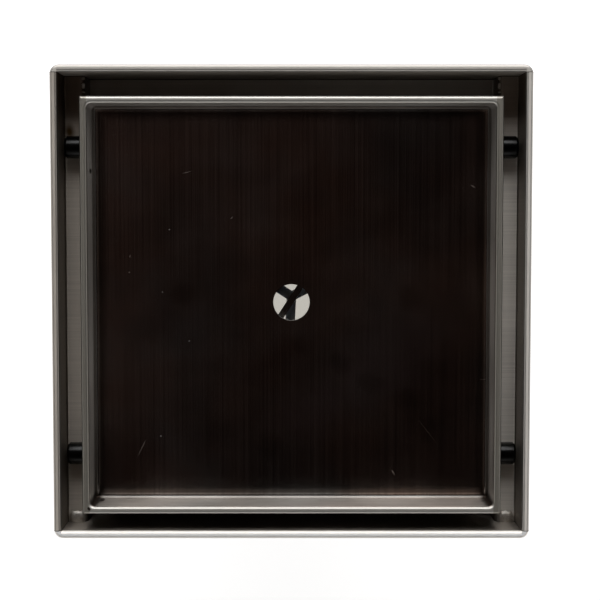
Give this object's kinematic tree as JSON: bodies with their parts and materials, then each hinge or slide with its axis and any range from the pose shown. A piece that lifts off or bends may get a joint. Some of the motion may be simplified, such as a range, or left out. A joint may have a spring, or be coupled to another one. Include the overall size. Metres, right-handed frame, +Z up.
{
  "type": "shower drain with tile tray",
  "caption": "Square floor drain of folded steel sheet with a loose tile tray that hangs by rubber pegs on side ledges, over a sump with a hair strainer and a round outlet.",
  "frame": {"origin": "centre of the outlet's free end, which is the middle of the drain's bottom", "axes": "+Z up through the outlet, +X to the side that has pegs, +Y to the back in the picture's view"},
  "size_m": [0.13, 0.1288, 0.08],
  "materials": {
    "body_steel": "brushed, rims ground smooth",
    "outlet_steel": "plain drawn tube",
    "tray_steel": "brushed along Y, lightly scratched and smudged",
    "stud_steel": "plain",
    "peg_rubber": "satin black",
    "strainer_steel": "smooth pressed sheet"
  },
  "bodies": {
    "root": {"drain_channel": "body_steel", "end_plate_back": "body_steel", "end_plate_front": "body_steel", "outlet_spigot": "outlet_steel", "tile_tray": "tray_steel", "tray_stud_left_back": "stud_steel", "tray_stud_left_front": "stud_steel", "tray_stud_right_back": "stud_steel", "tray_stud_right_front": "stud_steel", "rubber_peg_left_back": "peg_rubber", "rubber_peg_left_front": "peg_rubber", "rubber_peg_right_back": "peg_rubber", "rubber_peg_right_front": "peg_rubber", "hair_strainer": "strainer_steel", "strainer_handle": "strainer_steel"}
  },
  "joints": []
}
